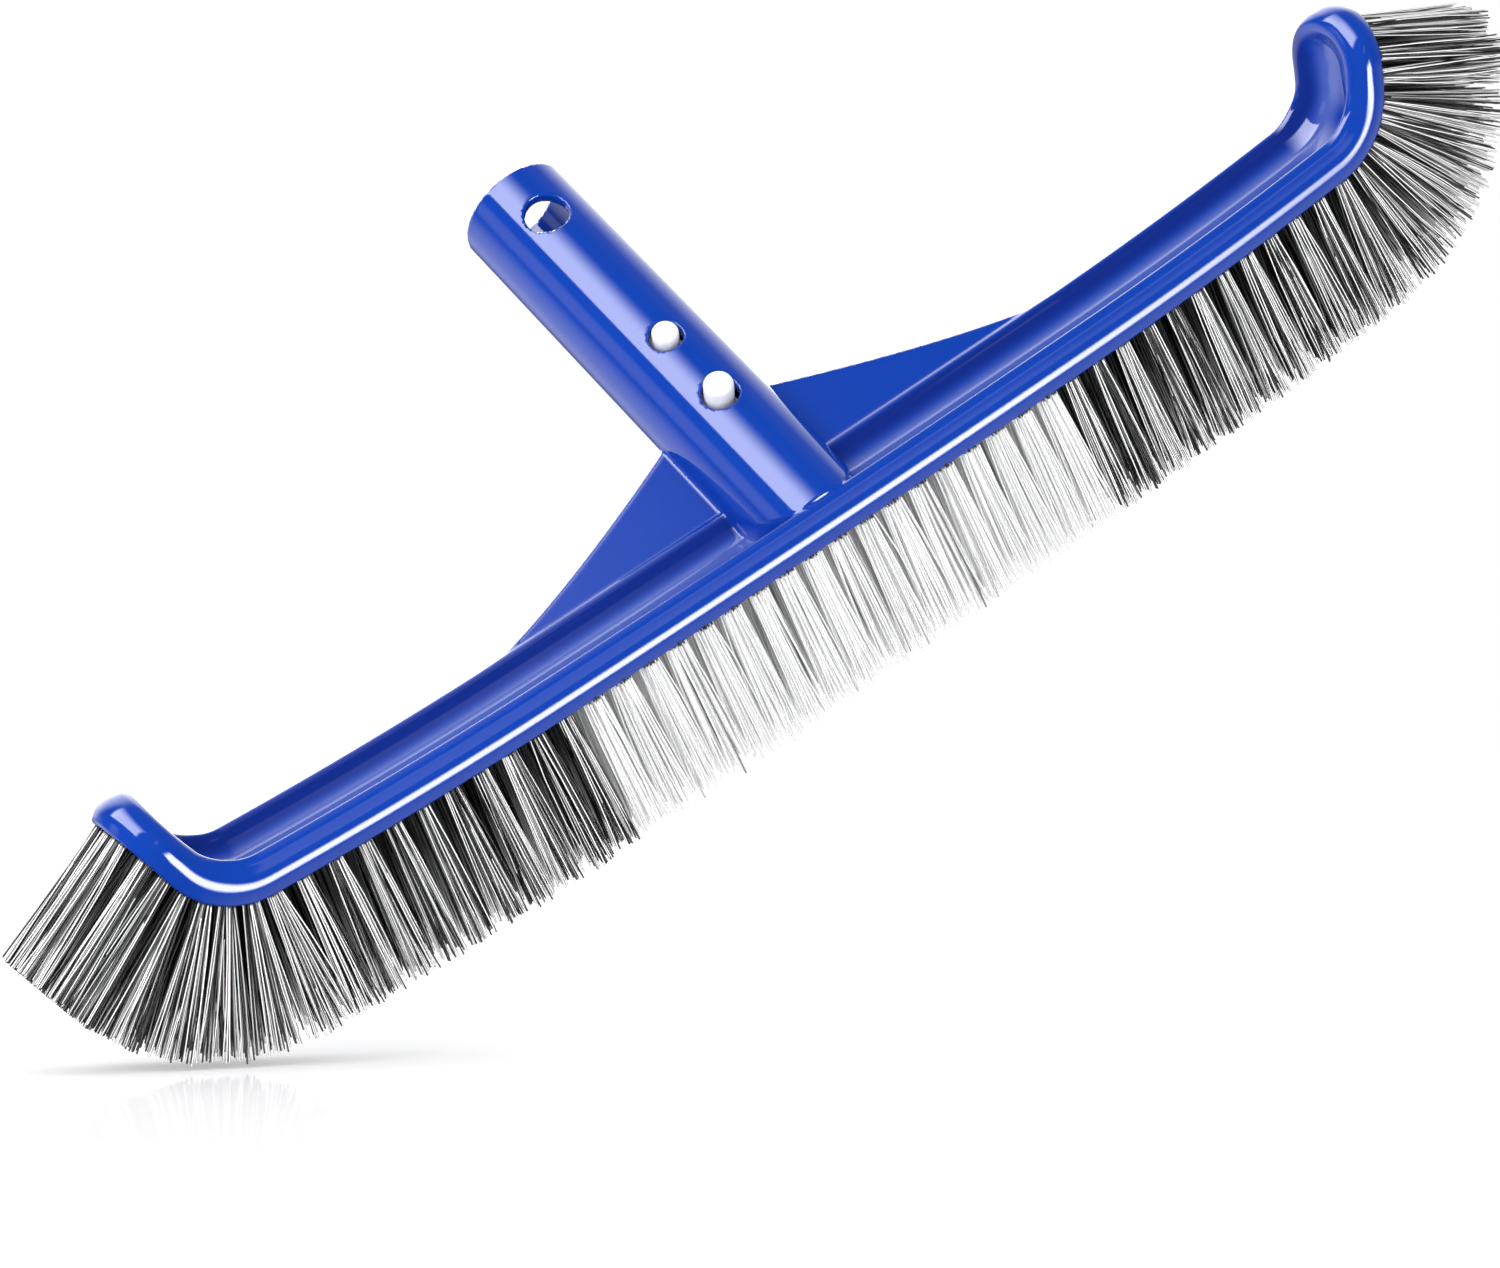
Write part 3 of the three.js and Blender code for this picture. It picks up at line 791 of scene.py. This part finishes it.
def bristle_material(name, nylon):
    """Nylon filaments: each has its own grey; painted shade darkens flanks, roots and inner tufts, and a
    painted glow brightens them all.
    """
    material, tree, shader = new_material(name)
    table = tree.nodes.new("ShaderNodeValToRGB")
    stops = table.color_ramp.elements
    for place, _ in nylon["stops"][1:-1]:
        stops.new(place)
    for stop, (_, grey) in zip(stops, nylon["stops"]):
        stop.color = (grey, grey, grey, 1.0)
    tree.links.new(mesh_value(tree, "shade"), table.inputs["Fac"])
    facing = tree.nodes.new("ShaderNodeLayerWeight")
    facing.inputs["Blend"].default_value = 0.5
    # painted shade on inner tufts
    painted_light = mapped(tree, mesh_value(tree, "painted_light"), (0.0, 1.0), (nylon["inner"], 1.0))
    # painted shade on the sides of each filament, by how far they turn from the view
    painted_flank_shade = mapped(tree, facing.outputs["Facing"], FLANK_PAINTED_SHADE, (1.0, nylon["painted_flank_shade"]))
    # painted shadow at the root of each filament
    root = mapped(tree, mesh_value(tree, "depth"), ROOT_PAINTED_SHADOW, (0.0, 1.0))
    shadow = product(tree, product(tree, painted_light, painted_flank_shade), root)
    color = tree.nodes.new("ShaderNodeVectorMath")
    color.operation = "SCALE"
    tree.links.new(table.outputs["Color"], color.inputs[0])
    tree.links.new(shadow, color.inputs["Scale"])
    tree.links.new(color.outputs["Vector"], shader.inputs["Base Color"])
    # painted glow: the filaments give off their own colour as emission
    tree.links.new(color.outputs["Vector"], shader.inputs["Emission Color"])
    shader.inputs["Emission Strength"].default_value = nylon["painted_glow"]
    shader.inputs["Roughness"].default_value = NYLON_ROUGHNESS
    return material


# ---------------------------------------------------------------- stage

CAMERA_AZIMUTH = math.radians(-19.32)
CAMERA_ELEVATION = math.radians(24.73)
CAMERA_ROLL = math.radians(-25.57)
CAMERA_DISTANCE = 1146.0
CAMERA_SHIFT = (15.65, 26.15)  # of the middle of the tray's underside, right and up in the view
CAMERA_LENS = 113.14
CAMERA_SENSOR = 36.0
FLOOR_LEVEL = -96.2  # along the view's up direction
FLOOR_SIZE = 6.0  # metres
FLOOR_GLOSS = 0.15
FLOOR_ROUGHNESS = 0.06

# Light. Directions are (right, up, back) in the camera's view.
DIFFUSE_LIGHT = 1.0
GLOSSY_LIGHT = 0.06  # between the panels and glows
FILL_DIRECTION = (-0.35, 0.15, 0.92)
FILL_DISTANCE = 1.3  # metres
FILL_SIZE = 0.9  # metres
FILL_POWER = 9.0
STRIP_ACROSS = (-0.30, 0.74, 0.60)
STRIP_ENDS = ((-0.22, -0.03), (0.35, 0.25))
PANELS = [  # upper left, then right and the faint strip above it
    {
        "centre": (-0.47, 0.70, 0.54),
        "across": (-0.77, -0.62, 0.16),
        "edges": ((-0.52, 0.03), (0.37, 0.335)),
        "ends": ((-0.6, -0.5), (0.6, 0.5)),
        "strength": 10.5,
    },
    {
        "centre": (0.80, -0.27, 0.535),
        "across": STRIP_ACROSS,
        "edges": ((-0.30, -0.09), (0.30, 0.09)),
        "ends": STRIP_ENDS,
        "strength": 23.0,
    },
    {
        "centre": (0.51, 0.30, 0.80),
        "across": STRIP_ACROSS,
        "edges": ((-0.08, -0.02), (0.08, 0.02)),
        "ends": STRIP_ENDS,
        "strength": 1.0,
    },
]
GLOWS = [  # direction, inner and outer angle in degrees, strength
    ((-0.30, 0.62, -0.72), 8.0, 42.0, 3.0),  # behind, upper left
    ((0.72, -0.62, -0.33), 18.0, 50.0, 0.8),  # behind, lower right
    ((-0.96, 0.08, 0.27), 3.0, 14.0, 1.0),  # left
    ((-0.80, -0.40, -0.45), 5.0, 42.0, 1.5),  # behind, lower left
    ((0.25, 0.45, -0.85), 15.0, 45.0, 1.2),  # behind, upper right
    ((0.25, 0.45, -0.85), 45.0, 70.0, 0.2),  # a wide halo round the same place
    ((0.0, 0.15, -0.99), 14.0, 22.0, 1.0),  # straight behind, where the floor mirrors it
]


def camera_axes():
    """Right, up and back vectors of the camera in the brush's frame."""
    a, e, r = CAMERA_AZIMUTH, CAMERA_ELEVATION, CAMERA_ROLL
    back = np.array([math.sin(a) * math.cos(e), -math.cos(a) * math.cos(e), math.sin(e)])
    level = np.array([math.cos(a), math.sin(a), 0.0])
    lift = np.cross(back, level)
    right = math.cos(r) * level + math.sin(r) * lift
    up = math.cos(r) * lift - math.sin(r) * level
    return right, up, back


def view_vector(direction):
    """A unit vector of the brush's frame from (right, up, back) parts in the camera's view."""
    right, up, back = camera_axes()
    vector = Vector(direction[0] * right + direction[1] * up + direction[2] * back)
    return vector.normalized()


def make_camera():
    """The camera: in front of the brush, a little to its left and above, and rolled."""
    right, up, back = camera_axes()
    place = CAMERA_DISTANCE * back - CAMERA_SHIFT[0] * right - CAMERA_SHIFT[1] * up
    place = place + np.array([0.0, 0.0, BRISTLE_LENGTH])
    data = bpy.data.cameras.new("camera")
    data.sensor_width = CAMERA_SENSOR
    data.lens = CAMERA_LENS
    camera = bpy.data.objects.new("camera", data)
    rotation = Matrix((right, up, back)).transposed().to_4x4()
    camera.matrix_world = Matrix.Translation(Vector(place) * MM) @ rotation
    bpy.context.scene.collection.objects.link(camera)
    bpy.context.scene.camera = camera


def make_fill_light():
    """A soft square light near the camera that only matt surfaces see."""
    z = view_vector(FILL_DIRECTION)
    x = Vector((1.0, 0.0, 0.0))
    x = (x - x.dot(z) * z).normalized()
    rotation = Matrix((x, z.cross(x), z)).transposed().to_4x4()
    data = bpy.data.lights.new("front_fill", "AREA")
    data.size = FILL_SIZE
    data.energy = FILL_POWER
    light = bpy.data.objects.new("front_fill", data)
    centre = Vector((0.0, 0.0, BRISTLE_LENGTH * MM))
    light.matrix_world = Matrix.Translation(centre + z * FILL_DISTANCE) @ rotation
    light.visible_glossy = False
    light.visible_camera = False
    bpy.context.scene.collection.objects.link(light)


class Studio:
    """What shiny surfaces reflect: panels and glows placed by direction in the camera's view."""

    def __init__(self, tree):
        self.tree = tree
        coordinates = tree.nodes.new("ShaderNodeTexCoord")
        self.direction = coordinates.outputs["Generated"]
        self.total = None

    def combine(self, operation, first, second):
        """A maths node's result; each input is a number or another node's output."""
        node = self.tree.nodes.new("ShaderNodeMath")
        node.operation = operation
        for socket, value in zip(node.inputs, (first, second)):
            if isinstance(value, float):
                socket.default_value = value
            else:
                self.tree.links.new(value, socket)
        return node.outputs["Value"]

    def dot(self, vector):
        """The cosine between the reflected direction and a vector."""
        node = self.tree.nodes.new("ShaderNodeVectorMath")
        node.operation = "DOT_PRODUCT"
        node.inputs[1].default_value = tuple(vector)
        self.tree.links.new(self.direction, node.inputs[0])
        return node.outputs["Value"]

    def step(self, value, zero_at, one_at):
        """A smooth step from 0 to 1."""
        node = self.tree.nodes.new("ShaderNodeMapRange")
        node.interpolation_type = "SMOOTHSTEP"
        node.inputs["From Min"].default_value = zero_at
        node.inputs["From Max"].default_value = one_at
        self.tree.links.new(value, node.inputs["Value"])
        return node.outputs["Result"]

    def add(self, light):
        """Adds a light to the total."""
        self.total = light if self.total is None else self.combine("ADD", self.total, light)

    def panel(self, centre, across, edges, ends, strength):
        """A softbox: edges lie across it and ends along it, as (dark, full) sines of angles."""
        centre = view_vector(centre)
        across = view_vector(across)
        across = (across - across.dot(centre) * centre).normalized()
        length = centre.cross(across)
        light = self.combine("GREATER_THAN", self.dot(centre), 0.0)
        for axis, fades in ((across, edges), (length, ends)):
            offset = self.dot(axis)
            for dark, full in fades:
                light = self.combine("MULTIPLY", light, self.step(offset, dark, full))
        self.add(self.combine("MULTIPLY", light, strength))

    def glow(self, centre, inner, outer, strength):
        """A round patch of light that fades between two angles in degrees."""
        facing = self.dot(view_vector(centre))
        fade = self.step(facing, math.cos(math.radians(outer)), math.cos(math.radians(inner)))
        self.add(self.combine("MULTIPLY", fade, strength))


def make_world():
    """White for the camera, even light for matt surfaces, and softboxes for shiny ones."""
    world = bpy.data.worlds.new("studio")
    world.use_nodes = True
    tree = world.node_tree
    background = tree.nodes["Background"]
    background.inputs["Color"].default_value = (1.0, 1.0, 1.0, 1.0)
    studio = Studio(tree)
    for panel in PANELS:
        studio.panel(**panel)
    for glow in GLOWS:
        studio.glow(*glow)
    glossy = studio.combine("ADD", studio.total, GLOSSY_LIGHT)
    path = tree.nodes.new("ShaderNodeLightPath")
    plain = studio.combine("MULTIPLY", path.outputs["Is Diffuse Ray"], DIFFUSE_LIGHT)
    plain = studio.combine("ADD", plain, path.outputs["Is Camera Ray"])
    shiny = studio.combine("MULTIPLY", path.outputs["Is Glossy Ray"], glossy)
    tree.links.new(studio.combine("ADD", plain, shiny), background.inputs["Strength"])
    bpy.context.scene.world = world


def floor_material():
    """White and faintly glossy from above, and clear from below."""
    material, tree, shader = new_material("pale_floor")
    shader.inputs["Base Color"].default_value = (1.0, 1.0, 1.0, 1.0)
    shader.inputs["Roughness"].default_value = 1.0
    shader.inputs["Specular IOR Level"].default_value = 0.0
    gloss = tree.nodes.new("ShaderNodeBsdfGlossy")
    gloss.inputs["Roughness"].default_value = FLOOR_ROUGHNESS
    blend = tree.nodes.new("ShaderNodeMixShader")
    blend.inputs[0].default_value = FLOOR_GLOSS
    tree.links.new(shader.outputs[0], blend.inputs[1])
    tree.links.new(gloss.outputs[0], blend.inputs[2])
    clear = tree.nodes.new("ShaderNodeBsdfTransparent")
    side = tree.nodes.new("ShaderNodeNewGeometry")
    one_sided = tree.nodes.new("ShaderNodeMixShader")
    tree.links.new(side.outputs["Backfacing"], one_sided.inputs[0])
    tree.links.new(blend.outputs[0], one_sided.inputs[1])
    tree.links.new(clear.outputs[0], one_sided.inputs[2])
    tree.links.new(one_sided.outputs[0], tree.nodes["Material Output"].inputs["Surface"])
    return material


def make_floor():
    """A pale floor under the left end, level in the view, that only shows from above."""
    right, up, back = camera_axes()
    centre = np.array([0.0, 0.0, BRISTLE_LENGTH])
    centre = centre - centre.dot(up) * up + FLOOR_LEVEL * up
    bpy.ops.mesh.primitive_plane_add(size=FLOOR_SIZE)
    floor = bpy.context.active_object
    floor.name = "floor"
    rotation = Matrix((right, -back, up)).transposed().to_4x4()
    floor.matrix_world = Matrix.Translation(Vector(centre) * MM) @ rotation
    floor.data.materials.append(floor_material())
    floor.visible_glossy = False


def make_stage():
    """Camera, light and floor."""
    make_camera()
    make_world()
    make_floor()
    make_fill_light()
    bpy.context.scene.view_settings.view_transform = "Standard"


# ---------------------------------------------------------------- assembly

blue = gloss_plastic("royal_blue_plastic", BLUE_TONES, BLUE_ROUGHNESS, BLUE_PEEL, PAINTED_LIGHT_LAYERS)
white = gloss_plastic("white_clip_plastic", CLIP_TONES, CLIP_ROUGHNESS, CLIP_PEEL)
grey_bristle = bristle_material("grey_nylon", GREY_NYLON)
white_bristle = bristle_material("white_nylon", WHITE_NYLON)

make_body().data.materials.append(blue)
make_clip_arm().data.materials.append(white)
make_clip_leg().data.materials.append(white)
random = np.random.default_rng(SEED)
for column in range(-LAST_COLUMN, LAST_COLUMN + 1):
    piece, is_white = make_tuft_row(column, random)
    piece.data.materials.append(white_bristle if is_white else grey_bristle)
make_stage()
